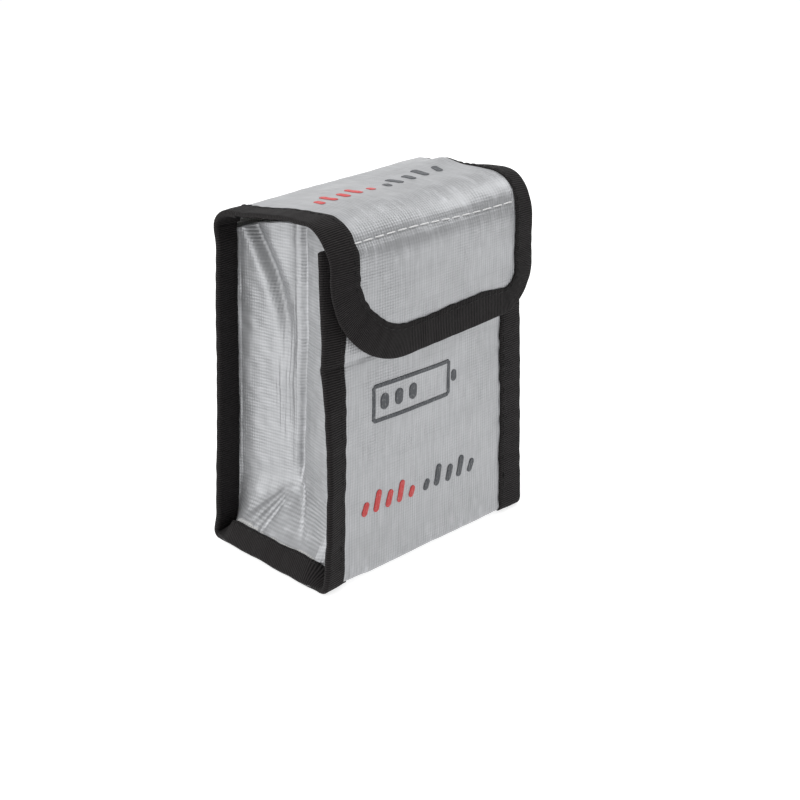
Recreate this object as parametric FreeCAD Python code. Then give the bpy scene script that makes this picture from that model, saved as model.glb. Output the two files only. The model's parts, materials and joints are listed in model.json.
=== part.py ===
"""Small fire-resistant battery pouch: a silver cloth strip folded into a box, with side gussets,
black edge binding and a fold-over flap that closes with hook-and-loop tape.

Frame, in millimetres: X across the pouch, Y from the front (-Y) to the back (+Y), Z up.
The origin is the middle of the base, on the surface that the pouch stands on.

One strip of cloth makes the front, base, back, top and tongue. It is cut here where it folds, so that
each stretch can ride on its own body: pouch, front_wall, flap_root, flap_top and tongue.
"""
import math
import os

import FreeCAD, Part

Vec = FreeCAD.Vector

# ---- driving dimensions
WIDTH = 90.0              # over the side bindings
DEPTH = 55.0              # front cloth to back cloth
HEIGHT = 110.0            # base to the rear fold
MOUTH_Z = 106.0           # top edge of the front wall and of the gussets
FLAP_WIDTH = 92.0         # the flap is a little wider than the pouch
FLAP_RISE = 4.5           # the top panel climbs this much towards the front
TONGUE_END_Z = 67.5       # lower edge of the closed tongue
TONGUE_CORNER = 19.0      # radius of its lower corners

CLOTH = 0.5               # outer silver cloth
LINING = 0.4              # inner cloth
TAPE = 0.6                # edge binding tape
TAPE_WIDTH = 10.0         # how far the folded tape reaches in from the edge
HOOK_LOOP = 1.0           # thickness of each half of the hook-and-loop closure
CLOSURE_GAP = 0.5         # between the two halves when shut
HINGE_GAP = 0.3           # between two stretches of cloth at a fold
SLIP = 0.1                # between the front wall's parts and the gussets and base

BASE_FOLD = 3.0           # outer radius of the folds at the base
REAR_FOLD = 8.0           # outer radius at the top of the back
FRONT_FOLD = 9.0          # outer radius where the top turns down into the tongue

PLEAT = 5.5               # how far each gusset is tucked in along its middle crease
APEX_Z = 28.0             # where that crease meets the two creases from the base corners

STITCH_PITCH = 3.2
STITCH_SHARE = 0.75       # of the pitch that is thread on the surface
STITCH_WIDTH = 0.4
STITCH_PROUD = 0.2
STITCH_INSET = 1.5        # from the tape's inner edge

# ---- worked out from them
HALF_W = WIDTH / 2
HALF_D = DEPTH / 2
FLAP_HALF = FLAP_WIDTH / 2
PANEL = CLOTH + LINING                        # one wall
SEAM = 2 * PANEL                              # wall and gusset together, inside a tape
FIN_IN = HALF_W - TAPE_WIDTH                  # inner edge of the side tapes
BASE_Z = TAPE                                 # underside of the cloth inside the base tapes
TONGUE_Y = -(HALF_D + 2 * HOOK_LOOP + CLOSURE_GAP + PANEL)   # outer face of the tongue
FAR = 80.0                                    # reach of the regions used for cutting
NEAR = 8.0                                    # height of the one that cuts the base
SPAN = 60.0                                   # half length in X of an uncut band


# The flap's outer line in the YZ plane, as (y, z, fold radius), from part way up the back
FLAP_LINE = [
    (HALF_D, HEIGHT / 2, 0.0),
    (HALF_D, HEIGHT, REAR_FOLD),
    (TONGUE_Y, HEIGHT + FLAP_RISE, FRONT_FOLD),
    (TONGUE_Y, TONGUE_END_Z, 0.0),
]


def unit(dy, dz):
    length = math.hypot(dy, dz)
    return dy / length, dz / length


def meet(p, d, q, e):
    """Where the line through p along d meets the line through q along e."""
    cross = d[0] * e[1] - d[1] * e[0]
    t = ((q[0] - p[0]) * e[1] - (q[1] - p[1]) * e[0]) / cross
    return p[0] + t * d[0], p[1] + t * d[1]


def offset_line(pts, depth):
    """A run of the strip's line moved towards the inside of the pouch by depth."""
    dirs = [unit(b[0] - a[0], b[1] - a[1]) for a, b in zip(pts, pts[1:])]
    moved = [(a[0] - d[1] * depth, a[1] + d[0] * depth) for a, d in zip(pts, dirs)]
    last = pts[-1]
    out = [(moved[0][0], moved[0][1], 0.0)]
    for i in range(1, len(dirs)):
        y, z = meet(moved[i - 1], dirs[i - 1], moved[i], dirs[i])
        out.append((y, z, pts[i][2] - depth))
    out.append((last[0] - dirs[-1][1] * depth, last[1] + dirs[-1][0] * depth, 0.0))
    return out


def fold(before, corner, after):
    """Start, middle, end and centre of the arc that rounds a corner."""
    y, z, radius = corner
    d = unit(y - before[0], z - before[1])
    e = unit(after[0] - y, after[1] - z)
    turn = math.acos(max(-1.0, min(1.0, d[0] * e[0] + d[1] * e[1])))
    tangent = radius * math.tan(turn / 2)
    start = (y - d[0] * tangent, z - d[1] * tangent)
    end = (y + e[0] * tangent, z + e[1] * tangent)
    centre = (start[0] - d[1] * radius, start[1] + d[0] * radius)
    out = unit(y - centre[0], z - centre[1])
    middle = (centre[0] + out[0] * radius, centre[1] + out[1] * radius)
    return start, middle, end, centre, out


def at(point, x=0.0):
    return Vec(x, point[0], point[1])


def line_edges(line, depth, x):
    """Edges of a run of the strip's line at a depth, in the plane X = x, and its two end points."""
    pts = offset_line(line, depth)
    edges = []
    here = (pts[0][0], pts[0][1])
    for before, corner, after in zip(pts, pts[1:], pts[2:]):
        start, middle, end, _, _ = fold(before, corner, after)
        edges.append(Part.LineSegment(at(here, x), at(start, x)).toShape())
        edges.append(Part.Arc(at(start, x), at(middle, x), at(end, x)).toShape())
        here = end
    tip = (pts[-1][0], pts[-1][1])
    edges.append(Part.LineSegment(at(here, x), at(tip, x)).toShape())
    return edges, (pts[0][0], pts[0][1]), tip


def band(line, outer, inner):
    """A run of the strip between two depths, across the whole width."""
    first, first_a, first_b = line_edges(line, outer, -SPAN)
    second, second_a, second_b = line_edges(line, inner, -SPAN)
    ends = [
        Part.LineSegment(at(first_a, -SPAN), at(second_a, -SPAN)).toShape(),
        Part.LineSegment(at(first_b, -SPAN), at(second_b, -SPAN)).toShape(),
    ]
    wire = Part.Wire(Part.__sortEdges__(first + second + ends))
    return Part.Face(wire).extrude(Vec(2 * SPAN, 0, 0))


def inside_walls(depth):
    """The space between the walls, from a depth below their outer faces up to the sloping mouth."""
    edges, a, b = line_edges(WALL_LINE, depth, -SPAN)
    mouth = Part.LineSegment(at(a, -SPAN), at(b, -SPAN)).toShape()
    wire = Part.Wire(Part.__sortEdges__(edges + [mouth]))
    return Part.Face(wire).extrude(Vec(2 * SPAN, 0, 0))


def yz_prism(points):
    """A prism across the whole width over a polygon in the YZ plane."""
    loop = [at(p, -SPAN) for p in points]
    return Part.Face(Part.makePolygon(loop + loop[:1])).extrude(Vec(2 * SPAN, 0, 0))


def box(x0, x1, y0, y1, z0, z1):
    return Part.makeBox(x1 - x0, y1 - y0, z1 - z0, Vec(x0, y0, z0))


def solid_of(shape):
    """One clean solid, or a compound of clean solids."""
    shape = shape.removeSplitter()
    solids = shape.Solids
    return solids[0] if len(solids) == 1 else Part.makeCompound(solids)


# ---- folds and hinge lines
REAR = fold(*FLAP_LINE[:3])
FRONT = fold(*FLAP_LINE[1:])
REAR_CENTRE, REAR_OUT = REAR[3], REAR[4]
FRONT_CENTRE, FRONT_OUT = FRONT[3], FRONT[4]
HINGE_OUT = TAPE + HINGE_GAP / 2              # hinge lines lie just outside the tape
BACK_TOP = REAR_CENTRE[1] - HINGE_GAP / 2

# The walls' outer line in the same form, from the mouth, down the front, under the base and up the back
WALL_LINE = [
    (-HALF_D, MOUTH_Z, 0.0),
    (-HALF_D, BASE_Z, BASE_FOLD),
    (HALF_D, BASE_Z, BASE_FOLD),
    (HALF_D, BACK_TOP, 0.0),
]


def hinge_points():
    """(y, z) of the three fold lines of the flap."""
    rear = REAR_FOLD + HINGE_OUT
    front = FRONT_FOLD + HINGE_OUT
    return {
        "root_lean": (HALF_D + HINGE_OUT, REAR_CENTRE[1]),
        "flap_open": (REAR_CENTRE[0] + REAR_OUT[0] * rear, REAR_CENTRE[1] + REAR_OUT[1] * rear),
        "tongue_lift": (FRONT_CENTRE[0] + FRONT_OUT[0] * front, FRONT_CENTRE[1] + FRONT_OUT[1] * front),
    }


def ray(centre, out, side, length):
    """A point at length along a fold's middle ray, half a hinge gap to one side of it."""
    shift = side * HINGE_GAP / 2
    return centre[0] + out[0] * length - out[1] * shift, centre[1] + out[1] * length + out[0] * shift


# ---- the stretch of the strip that each body holds, as prisms
def regions():
    """For each stretch, the run of the strip that it is cut from and the prism that cuts it."""
    root_z = BACK_TOP + HINGE_GAP
    base_front = -HALF_D + BASE_FOLD + 3 * SLIP
    front_back = -HALF_D + BASE_FOLD + SLIP
    base_back = HALF_D - BASE_FOLD
    return {
        "front": (WALL_LINE, yz_prism([(-FAR, -1), (front_back, -1), (front_back, FAR * 2), (-FAR, FAR * 2)])),
        "base": (WALL_LINE, yz_prism([(base_front, -1), (base_back, -1), (base_back, NEAR), (base_front, NEAR)])),
        "back": (WALL_LINE, yz_prism([(base_back, -1), (FAR, -1), (FAR, FAR * 2), (base_back, FAR * 2)])),
        "root": (FLAP_LINE, yz_prism([
            (REAR_CENTRE[0], root_z), (FAR, root_z), (FAR, root_z + FAR),
            ray(REAR_CENTRE, REAR_OUT, -1, FAR), ray(REAR_CENTRE, REAR_OUT, -1, 0.5),
        ])),
        "top": (FLAP_LINE, yz_prism([
            ray(REAR_CENTRE, REAR_OUT, 1, 0.5), ray(REAR_CENTRE, REAR_OUT, 1, FAR),
            ray(FRONT_CENTRE, FRONT_OUT, -1, FAR), ray(FRONT_CENTRE, FRONT_OUT, -1, 0.5),
        ])),
        "tongue": (FLAP_LINE, yz_prism([
            ray(FRONT_CENTRE, FRONT_OUT, 1, 0.5), ray(FRONT_CENTRE, FRONT_OUT, 1, FAR),
            (-FAR, HEIGHT / 2), (FRONT_CENTRE[0], HEIGHT / 2),
        ])),
    }


# ---- outlines that the tapes follow, less an inset
def side_outline(inset):
    """Straight sides, as on the pouch itself."""
    return box(-HALF_W + inset, HALF_W - inset, -FAR, FAR, -5, 130)


def flap_outline(inset):
    """The flap seen from above: it widens from the back to the front."""
    rear, front = HALF_W - inset, FLAP_HALF - inset
    loop = [(-rear, FAR), (-rear, HALF_D), (-front, -HALF_D), (-front, -FAR),
            (front, -FAR), (front, -HALF_D), (rear, HALF_D), (rear, FAR)]
    pts = [Vec(x, y, 60) for x, y in loop]
    return Part.Face(Part.makePolygon(pts + pts[:1])).extrude(Vec(0, 0, 80))


def tongue_line(inset, y):
    """Edges of the tongue's side, rounded end and other side, in the plane Y = y."""
    half, low, radius = FLAP_HALF - inset, TONGUE_END_Z + inset, TONGUE_CORNER - inset
    high = FRONT_CENTRE[1]
    slant = radius * math.sqrt(0.5)
    left, right = -half + radius, half - radius
    return [
        Part.LineSegment(Vec(-half, y, high), Vec(-half, y, low + radius)).toShape(),
        Part.Arc(Vec(-half, y, low + radius), Vec(left - slant, y, low + radius - slant), Vec(left, y, low)).toShape(),
        Part.LineSegment(Vec(left, y, low), Vec(right, y, low)).toShape(),
        Part.Arc(Vec(right, y, low), Vec(right + slant, y, low + radius - slant), Vec(half, y, low + radius)).toShape(),
        Part.LineSegment(Vec(half, y, low + radius), Vec(half, y, high)).toShape(),
    ]


def tongue_outline(inset):
    """The tongue seen from the front, with its upper end left open."""
    half, high, top = FLAP_HALF - inset, FRONT_CENTRE[1], 130.0
    cap = Part.makePolygon([Vec(half, -FAR, high), Vec(half, -FAR, top), Vec(-half, -FAR, top), Vec(-half, -FAR, high)])
    wire = Part.Wire(Part.__sortEdges__(tongue_line(inset, -FAR) + cap.Edges))
    return Part.Face(wire).extrude(Vec(0, 2 * FAR, 0))


# ---- cloth, lining and tape of one stretch of the strip
def cloth(stretch, outline):
    line, region = stretch
    return solid_of(band(line, 0, CLOTH).common(region).common(outline(TAPE)))


def lining(stretch, outline):
    line, region = stretch
    return solid_of(band(line, CLOTH, PANEL).common(region).common(outline(TAPE)))


def tape(stretch, outline, core):
    """A folded tape round the edge, closed over core thickness of cloth."""
    line, region = stretch
    around = band(line, -TAPE, core + TAPE).common(region).common(outline(0))
    around = around.cut(outline(TAPE_WIDTH))
    return solid_of(around.cut(band(line, 0, core).common(outline(TAPE))))


def one_side(shape, sign):
    """The half of a shape with X of that sign."""
    half = box(0, SPAN, -FAR, FAR, -5, 140) if sign > 0 else box(-SPAN, 0, -FAR, FAR, -5, 140)
    return solid_of(shape.common(half))


# ---- base: the cloth steps down between the tapes, so that it lies on the surface
def base_sheet(low, high):
    step_in, step_out, edge = FIN_IN - 2.0, FIN_IN - 0.5, HALF_W - TAPE
    half = [(0.0, low), (step_in, low), (step_out, low + BASE_Z), (edge, low + BASE_Z)]
    back = [(edge, high + BASE_Z), (step_out, high + BASE_Z), (step_in, high), (0.0, high)]
    right = half + back
    left = [(-x, z) for x, z in reversed(right[1:-1])]
    y0, y1 = -HALF_D + BASE_FOLD + 3 * SLIP, HALF_D - BASE_FOLD
    pts = [Vec(x, y0, z) for x, z in right + left]
    return solid_of(Part.Face(Part.makePolygon(pts + pts[:1])).extrude(Vec(0, y1 - y0, 0)))


# ---- gussets: two halves tucked in along a middle crease, and a flat triangle at the base
def gusset_sheet(sign, outside, inside):
    """A layer of a gusset between two depths from its outer face, with the flanges that the tapes hold."""
    y_back = HALF_D - PANEL
    y_front = -y_back
    z_low = BASE_Z + PANEL
    web = FIN_IN - 0.5
    tuck = web - PLEAT

    def point(x, y, z):
        return Vec(sign * x, y, z)

    facets = [
        [point(web, y_back, z_low), point(web, y_back, MOUTH_Z), point(tuck, 0, MOUTH_Z), point(tuck, 0, APEX_Z)],
        [point(web, y_front, z_low), point(web, y_front, MOUTH_Z), point(tuck, 0, MOUTH_Z), point(tuck, 0, APEX_Z)],
        [point(web, y_back, z_low), point(tuck, 0, APEX_Z), point(web, y_front, z_low)],
    ]
    thick = inside - outside
    shift = Vec(-sign * outside, 0, 0)
    solids = []
    for facet in facets:
        face = Part.Face(Part.makePolygon([p + shift for p in facet + facet[:1]]))
        solids.append(face.extrude(Vec(-sign * thick, 0, 0)))
    body = solids[0].fuse(solids[1:])
    flange = HALF_W - TAPE - SLIP
    inner = web - inside
    deep, shallow = PANEL - inside, PANEL - outside
    x0, x1 = sorted((sign * inner, sign * flange))
    back = box(x0, x1, y_back - shallow, y_back - deep, z_low, MOUTH_Z)
    front = box(x0, x1, y_front + deep + SLIP, y_front + shallow + SLIP, z_low, MOUTH_Z)
    low = box(x0, x1, y_front + shallow + SLIP, y_back - shallow, z_low + deep, z_low + shallow)
    return body, [back, front, low]


def gusset(sign):
    """Outer cloth of a gusset, with its flanges. Its lining stops at the web."""
    body, flanges = gusset_sheet(sign, 0.0, CLOTH)
    return solid_of(body.fuse(flanges).common(inside_walls(PANEL + SLIP)))


def gusset_lining(sign):
    body, _ = gusset_sheet(sign, CLOTH, PANEL)
    return solid_of(body.common(inside_walls(PANEL + SLIP)).cut(gusset(sign)))


# ---- stitching
def stitch_run(edges, normal):
    """Separate stitches along a run of edges, standing on a surface with that normal."""
    wire = Part.Wire(Part.__sortEdges__(edges))
    count = max(2, round(wire.Length / STITCH_PITCH) + 1)
    pts = wire.discretize(Number=count)
    stitches = []
    for a, b in zip(pts, pts[1:]):
        along = b - a
        gap = (1 - STITCH_SHARE) / 2
        length = along.Length * STITCH_SHARE
        stitch = Part.makeBox(length, STITCH_WIDTH, STITCH_PROUD, Vec(0, -STITCH_WIDTH / 2, 0))
        turn = FreeCAD.Rotation(along, Vec(0, 0, 0), normal, "XZY")
        stitch.Placement = FreeCAD.Placement(a + along * gap, turn)
        stitches.append(stitch)
    return stitches


def straight(a, b):
    return [Part.LineSegment(Vec(*a), Vec(*b)).toShape()]


def wall_stitching(y, outward, low, high):
    """Both side seams of the front or the back wall."""
    x = FIN_IN + STITCH_INSET
    runs = []
    for sign in (-1, 1):
        runs += stitch_run(straight((sign * x, y, low), (sign * x, y, high)), Vec(0, outward, 0))
    return Part.makeCompound(runs)


def base_stitching():
    """Both seams of the base, on the upper side of its tapes."""
    x, z = FIN_IN + STITCH_INSET, BASE_Z + SEAM + TAPE
    reach = HALF_D - SEAM - TAPE - 3.0
    runs = []
    for sign in (-1, 1):
        runs += stitch_run(straight((sign * x, -reach, z), (sign * x, reach, z)), Vec(0, 0, 1))
    return Part.makeCompound(runs)


def top_stitching():
    """Both seams of the top panel, between its two folds."""
    (y0, z0), (y1, z1) = REAR[2], FRONT[0]
    along = unit(y1 - y0, z1 - z0)
    normal = Vec(0, along[1], -along[0])
    rear, front = HALF_W - TAPE_WIDTH + STITCH_INSET, FLAP_HALF - TAPE_WIDTH + STITCH_INSET
    widen = (front - rear) / DEPTH
    runs = []
    for sign in (-1, 1):
        ends = []
        for y, z in ((y0, z0), (y1, z1)):
            x = sign * (rear + widen * (HALF_D - y))
            ends.append(Vec(x, y, z) + normal * TAPE)
        runs += stitch_run([Part.LineSegment(*ends).toShape()], normal)
    return Part.makeCompound(runs)


def tongue_stitching():
    y = TONGUE_Y - TAPE
    return Part.makeCompound(stitch_run(tongue_line(TAPE_WIDTH - STITCH_INSET, y), Vec(0, -1, 0)))


def frame_stitching(half, low, high, y, outward):
    """A rectangle of stitches round the edge of a hook or loop patch."""
    inset = STITCH_INSET
    x, z0, z1 = half - inset, low + inset, high - inset
    trim = STITCH_WIDTH
    runs = []
    for a, b in (((-x, z0), (x, z0)), ((-x, z1), (x, z1))):
        runs += stitch_run(straight((a[0], y, a[1]), (b[0], y, b[1])), Vec(0, outward, 0))
    for side in (-x, x):
        runs += stitch_run(straight((side, y, z0 + trim), (side, y, z1 - trim)), Vec(0, outward, 0))
    return Part.makeCompound(runs)


# ---- closure
PATCH_HALF = FIN_IN - 3.0
PATCH_LOW, PATCH_HIGH = TONGUE_END_Z + TAPE_WIDTH + 2.0, FRONT[2][1] - 1.0
CROSS_SEAM_Z = FRONT[2][1] - 0.4
HEM_DEPTH = 8.0


def loop_patch():
    y = -HALF_D
    return box(-PATCH_HALF, PATCH_HALF, y - HOOK_LOOP, y, PATCH_LOW, PATCH_HIGH)


def hook_patch():
    y = TONGUE_Y + PANEL
    return box(-PATCH_HALF, PATCH_HALF, y, y + HOOK_LOOP, PATCH_LOW, PATCH_HIGH)


def cross_seam():
    """The row of light thread that holds the hook patch, across the face of the tongue."""
    y, half = TONGUE_Y, FLAP_HALF - TAPE_WIDTH - 0.5
    return Part.makeCompound(stitch_run(straight((-half, y, CROSS_SEAM_Z), (half, y, CROSS_SEAM_Z)), Vec(0, -1, 0)))


def front_hem():
    """The mouth edge of the front wall, turned in and sewn down."""
    y = -HALF_D + PANEL
    half = FIN_IN - 2.0
    return box(-half, half, y, y + CLOTH, MOUTH_Z - HEM_DEPTH, MOUTH_Z)


def hem_stitching():
    y, half = -HALF_D + PANEL + CLOTH, FIN_IN - 3.0
    z = MOUTH_Z - HEM_DEPTH + STITCH_INSET
    return Part.makeCompound(stitch_run(straight((-half, y, z), (half, y, z)), Vec(0, 1, 0)))


def add_sides(parts, name, shape):
    """Stores the left and right halves of a tape as two nodes."""
    parts["left_" + name] = one_side(shape, -1)
    parts["right_" + name] = one_side(shape, 1)


def build():
    where = regions()
    parts = {}

    # pouch: back, base and gussets
    parts["back_panel"] = cloth(where["back"], side_outline)
    parts["back_lining"] = lining(where["back"], side_outline)
    parts["base_panel"] = base_sheet(0.0, CLOTH)
    parts["base_lining"] = base_sheet(CLOTH, PANEL)
    for side, sign in (("left", -1), ("right", 1)):
        parts[side + "_gusset"] = gusset(sign)
        parts[side + "_gusset_lining"] = gusset_lining(sign)
    add_sides(parts, "back_binding", tape(where["back"], side_outline, SEAM))
    add_sides(parts, "base_binding", tape(where["base"], side_outline, SEAM))
    seam_low, seam_high = 6.0, REAR_CENTRE[1] - 1.0
    parts["back_seam_thread"] = wall_stitching(HALF_D + TAPE, 1, seam_low, seam_high)
    parts["base_seam_thread"] = base_stitching()

    # front wall
    parts["front_panel"] = cloth(where["front"], side_outline)
    parts["front_lining"] = lining(where["front"], side_outline)
    parts["front_hem"] = front_hem()
    add_sides(parts, "front_binding", tape(where["front"], side_outline, SEAM + 2 * SLIP))
    parts["loop_patch"] = loop_patch()
    parts["front_seam_thread"] = wall_stitching(-HALF_D - TAPE, -1, seam_low, MOUTH_Z - 1.0)
    parts["loop_patch_thread"] = frame_stitching(PATCH_HALF, PATCH_LOW, PATCH_HIGH, -HALF_D - HOOK_LOOP, -1)
    parts["front_hem_thread"] = hem_stitching()

    # flap root, between the back's fold line and the middle of the rear fold
    parts["flap_root_panel"] = cloth(where["root"], flap_outline)
    parts["flap_root_lining"] = lining(where["root"], flap_outline)
    add_sides(parts, "flap_root_binding", tape(where["root"], flap_outline, PANEL))

    # flap top
    parts["flap_top_panel"] = cloth(where["top"], flap_outline)
    parts["flap_top_lining"] = lining(where["top"], flap_outline)
    add_sides(parts, "flap_top_binding", tape(where["top"], flap_outline, PANEL))
    parts["flap_top_thread"] = top_stitching()

    # tongue
    parts["tongue_panel"] = cloth(where["tongue"], tongue_outline)
    parts["tongue_lining"] = lining(where["tongue"], tongue_outline)
    parts["tongue_binding"] = tape(where["tongue"], tongue_outline, PANEL)
    parts["hook_patch"] = hook_patch()
    parts["tongue_seam_thread"] = tongue_stitching()
    parts["hook_patch_thread"] = cross_seam()
    return parts


def main():
    os.makedirs("parts", exist_ok=True)
    for name, shape in build().items():
        shape.exportStep("parts/" + name + ".step")
        print(name, "solids", len(shape.Solids), "valid", shape.isValid(), "volume", round(shape.Volume, 1))
    for name, (y, z) in hinge_points().items():
        print("hinge", name, "y", round(y, 3), "z", round(z, 3))


main()
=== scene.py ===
import json
import math

import bpy
import numpy as np
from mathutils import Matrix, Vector


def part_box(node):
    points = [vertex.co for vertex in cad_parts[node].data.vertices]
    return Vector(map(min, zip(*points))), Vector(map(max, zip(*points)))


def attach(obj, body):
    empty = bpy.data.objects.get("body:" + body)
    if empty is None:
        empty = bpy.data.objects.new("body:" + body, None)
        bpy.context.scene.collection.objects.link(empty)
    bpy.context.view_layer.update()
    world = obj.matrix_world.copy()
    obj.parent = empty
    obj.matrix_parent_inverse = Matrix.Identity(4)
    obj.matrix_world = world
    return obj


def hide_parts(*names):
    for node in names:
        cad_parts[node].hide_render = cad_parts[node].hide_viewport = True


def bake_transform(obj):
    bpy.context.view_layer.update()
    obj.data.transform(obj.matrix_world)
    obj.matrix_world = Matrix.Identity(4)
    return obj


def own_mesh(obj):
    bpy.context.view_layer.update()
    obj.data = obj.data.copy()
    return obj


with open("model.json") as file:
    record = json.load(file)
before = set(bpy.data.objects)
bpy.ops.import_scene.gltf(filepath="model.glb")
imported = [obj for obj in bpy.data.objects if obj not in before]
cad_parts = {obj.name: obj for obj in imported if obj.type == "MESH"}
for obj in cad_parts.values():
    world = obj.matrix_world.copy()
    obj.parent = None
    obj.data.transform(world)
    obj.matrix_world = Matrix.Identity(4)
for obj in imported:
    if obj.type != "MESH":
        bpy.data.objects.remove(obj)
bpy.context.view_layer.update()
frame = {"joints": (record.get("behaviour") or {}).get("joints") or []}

# Looks of a small fire-resistant battery pouch. Lengths are millimetres until a mesh is made.
# One strip of silver cloth is the front, base, back, flap top and tongue. Its flat coordinates are x
# across the pouch and s along the strip: from the front wall's mouth down, under the base, up the back
# and over to the tongue's end.
MM = 0.001


def corner(node, which):
    """A CAD node's lowest (0) or highest (1) corner in millimetres."""
    return [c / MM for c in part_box(node)[which]]


# ---- measures from the frame
HALF_W = corner("right_front_binding", 1)[0]
FRONT_Y, MOUTH_Z = corner("front_panel", 0)[1], corner("front_panel", 1)[2]
BACK_Y, BACK_TOP = corner("back_panel", 1)[1], corner("back_panel", 1)[2]
BASE_Z = corner("back_panel", 0)[2]
TONGUE_Y, TONGUE_LOW = corner("tongue_panel", 0)[1], corner("tongue_binding", 0)[2]
FLAP_HALF = corner("tongue_binding", 1)[0]
TAPE_W = HALF_W - corner("right_back_binding", 0)[0]
TOP_Z = corner("flap_top_panel", 1)[2]
HINGES = {j["name"]: [c / MM for c in j["pos_m"]] for j in frame["joints"] if "pos_m" in j}
SEAM_X = HALF_W - TAPE_W

# ---- cloth and tape
CLOTH, TAPE, SEAM = 0.6, 0.45, 1.25                   # thickness of each, a seam without its tape
REAR_FOLD, FRONT_FOLD, BASE_FOLD = 11.0, 14.5, 2.2    # radii
REAR_Z = BACK_TOP + 8.5
FOOT_Z = 0.75 * BASE_Z
FIN_DROP = 7.5            # how far the base seams stand above the surface
CREST_X = HALF_W - 4.2    # where they stand
CREASE_Z = 70.6           # a crease across the front wall, under the tongue's left corner
WEAVE = 1.05              # thread pitch
rng = np.random.default_rng(11)


def smooth(a, b, v):
    """0 below a, 1 above b, and smooth between."""
    t = np.clip((np.asarray(v, float) - a) / (b - a), 0, 1)
    return t * t * (3 - 2 * t)


def hump(v, centre, width):
    """1 at the centre, and a bell's fall to both sides."""
    return np.exp(-(((np.asarray(v, float) - centre) / width) ** 2))


def run_of(points):
    """The length along a row of points, at each of them."""
    return np.r_[0, np.cumsum(np.linalg.norm(np.diff(points, axis=0), axis=1))]


def unit(vectors):
    return vectors / np.linalg.norm(vectors, axis=-1, keepdims=True)


def make_ripple(size, count=7):
    """A smooth wandering function of two lengths, about -1 to 1, with waves of about that size."""
    angle = rng.uniform(0, 2 * math.pi, count)
    pace = rng.uniform(0.6, 1.6, count) * 2 * math.pi / size
    phase = rng.uniform(0, 2 * math.pi, count)

    def ripple(a, b):
        total = 0.0
        for k in range(count):
            total = total + np.sin(pace[k] * (np.cos(angle[k]) * a + np.sin(angle[k]) * b) + phase[k])
        return total / math.sqrt(count)

    return ripple


broad, mid, fine = make_ripple(55.0), make_ripple(20.0), make_ripple(7.0)


# ---- the strip's line in the YZ plane
class Line:
    """A polyline with rounded corners, softened, and measured by length."""

    STEP = 0.25
    FAR = 1e9

    def __init__(self, corners, softness):
        pts = [np.array(corners[0][:2], float)]
        for before, here, after in zip(corners, corners[1:], corners[2:]):
            pts += self.arc(*(np.array(c[:2], float) for c in (before, here, after)), here[2])
        pts.append(np.array(corners[-1][:2], float))
        pts = np.array(pts)
        s = run_of(pts)
        even_s = np.arange(0, s[-1], self.STEP)
        pts = np.stack([np.interp(even_s, s, pts[:, k]) for k in (0, 1)], 1)
        reach = int(4 * softness / self.STEP)     # the kernel is cut off at four times its width
        kernel = np.exp(-0.5 * (np.arange(-reach, reach + 1) * self.STEP / softness) ** 2)
        kernel /= kernel.sum()
        lead = [pts[0] + (pts[0] - pts[1]) * k for k in range(reach, 0, -1)]
        tail = [pts[-1] + (pts[-1] - pts[-2]) * k for k in range(1, reach + 1)]
        pts = np.vstack([lead, pts, tail])
        pts = np.stack([np.convolve(pts[:, k], kernel, "valid") for k in (0, 1)], 1)
        self.s = run_of(pts)
        self.pts = pts
        self.way = np.gradient(pts, self.s, axis=0)
        self.end = self.s[-1]

    @staticmethod
    def arc(before, here, after, radius):
        """Points of the rounding of one corner."""
        d, e = unit(here - before), unit(after - here)
        turn = math.acos(np.clip(d @ e, -1, 1))
        tangent = radius * math.tan(turn / 2)
        inward = np.array([-d[1], d[0]])
        centre = here - d * tangent + inward * radius
        parts = 24
        return [
            centre + radius * (-inward * math.cos(turn * k / parts) + d * math.sin(turn * k / parts))
            for k in range(parts + 1)
        ]

    def at(self, s):
        """y and z at a length, and the outward direction there."""
        y, z = (np.interp(s, self.s, self.pts[:, k]) for k in (0, 1))
        dy, dz = (np.interp(s, self.s, self.way[:, k]) for k in (0, 1))
        return y, z, dz, -dy

    def find(self, y, z, low=0.0, high=FAR):
        """Length along the line of its nearest point to (y, z), between two lengths."""
        far = np.hypot(self.pts[:, 0] - y, self.pts[:, 1] - z)
        far = np.where((self.s >= low) & (self.s <= high), far, self.FAR)
        return float(self.s[far.argmin()])


FOLD_Z = TOP_Z + 0.6      # height of the front fold's corner before it is rounded
line = Line(
    [
        (FRONT_Y, MOUTH_Z, 0),
        (FRONT_Y, FOOT_Z, BASE_FOLD),
        (BACK_Y, FOOT_Z, BASE_FOLD),
        (BACK_Y, REAR_Z, REAR_FOLD),
        (FRONT_Y / 3, TOP_Z + 1.1, 60),
        (TONGUE_Y, FOLD_Z, FRONT_FOLD),
        (TONGUE_Y, TONGUE_LOW, 0),
    ],
    softness=0.8,
)

# lengths along the strip where its stretches begin and end
S_FOOT = line.find(FRONT_Y, BASE_Z)
S_HEEL = line.find(BACK_Y, BASE_Z)
S_FRONT_END = line.find(FRONT_Y + BASE_FOLD, BASE_Z, S_FOOT)
S_BACK_START = line.find(BACK_Y - BASE_FOLD, BASE_Z, S_FOOT, S_HEEL)
ROOT, OPEN, LIFT = (HINGES[n] for n in ("root_lean", "flap_open", "tongue_lift"))
S_ROOT = line.find(ROOT[1] - 0.7, (ROOT[2] + OPEN[2]) / 2, S_HEEL)
S_REAR = line.find(BACK_Y, REAR_Z, S_HEEL)
S_TOP = line.find(BACK_Y - 12, REAR_Z, S_REAR)
S_FOLD = line.find(TONGUE_Y, FOLD_Z, S_TOP)
S_FOLD_TOP = S_FOLD + 0.43 * FRONT_FOLD      # the length that stands for y = TONGUE_Y in the top's print
S_TONGUE = line.find(TONGUE_Y, TOP_Z - FRONT_FOLD, S_FOLD)
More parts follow.
